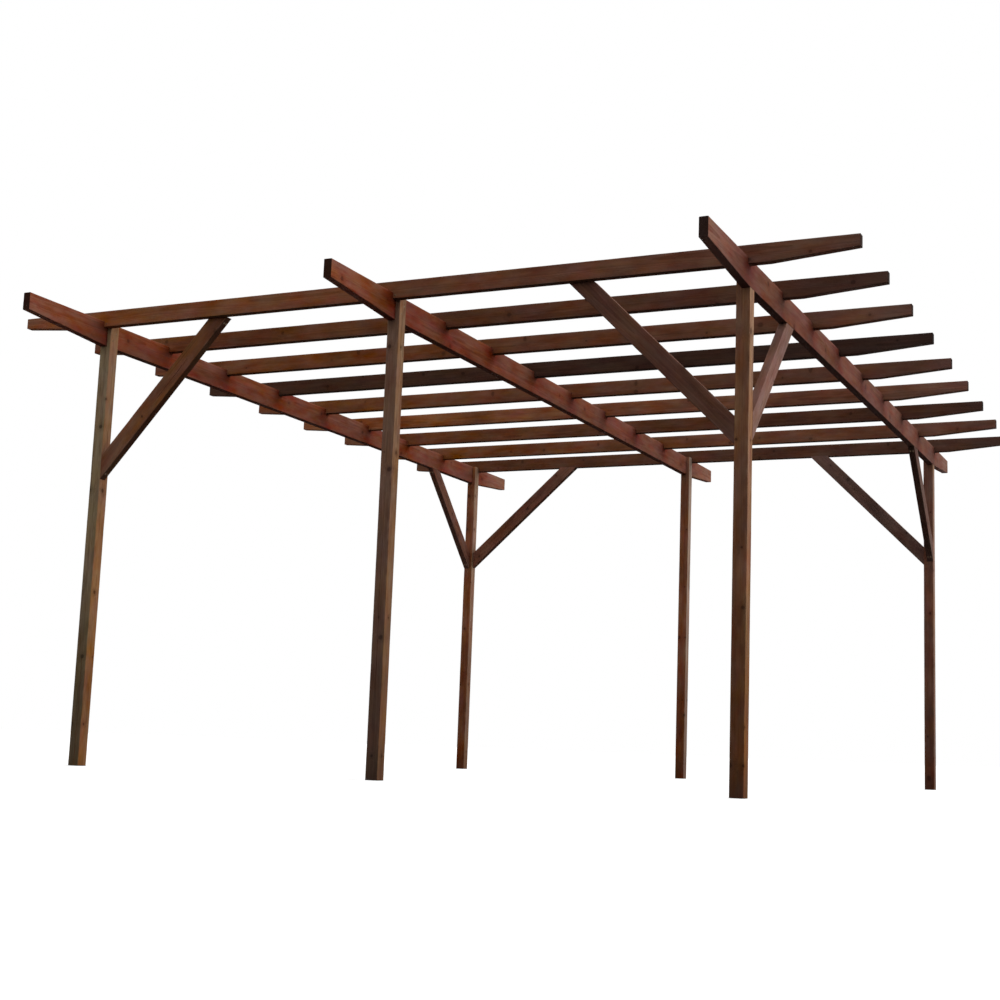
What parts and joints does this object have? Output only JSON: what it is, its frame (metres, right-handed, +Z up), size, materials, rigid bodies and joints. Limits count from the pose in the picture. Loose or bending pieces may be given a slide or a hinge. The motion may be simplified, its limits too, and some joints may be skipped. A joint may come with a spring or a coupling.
{
  "type": "pergola",
  "caption": "Open timber pergola: square notched posts carry long beams, notched slats lie across them, and slanted braces stiffen the corners.",
  "frame": {"origin": "on the ground, under the middle of the roof", "axes": "+X along the slats, to the right as seen from the front; +Y along the beams, to the back; +Z up"},
  "size_m": [4.93, 6.1, 2.59],
  "materials": {
    "post_wood": "matt brown stain",
    "beam_wood": "matt red-brown stain",
    "slat_wood": "matt dark brown stain",
    "brace_wood": "matt brown stain"
  },
  "bodies": {
    "root": {"post_left_front": "post_wood", "post_left_rear": "post_wood", "post_middle_front": "post_wood", "post_middle_rear": "post_wood", "post_right_front": "post_wood", "post_right_rear": "post_wood", "beam_left": "beam_wood", "beam_middle": "beam_wood", "beam_right": "beam_wood", "slat_1": "slat_wood", "slat_2": "slat_wood", "slat_3": "slat_wood", "slat_4": "slat_wood", "slat_5": "slat_wood", "slat_6": "slat_wood", "slat_7": "slat_wood", "slat_8": "slat_wood", "slat_9": "slat_wood", "brace_across_left_front": "brace_wood", "brace_across_left_rear": "brace_wood", "brace_across_right_front": "brace_wood", "brace_across_right_rear": "brace_wood", "brace_along_left_rear": "brace_wood", "brace_along_right_front": "brace_wood", "brace_along_right_rear": "brace_wood"}
  },
  "joints": []
}
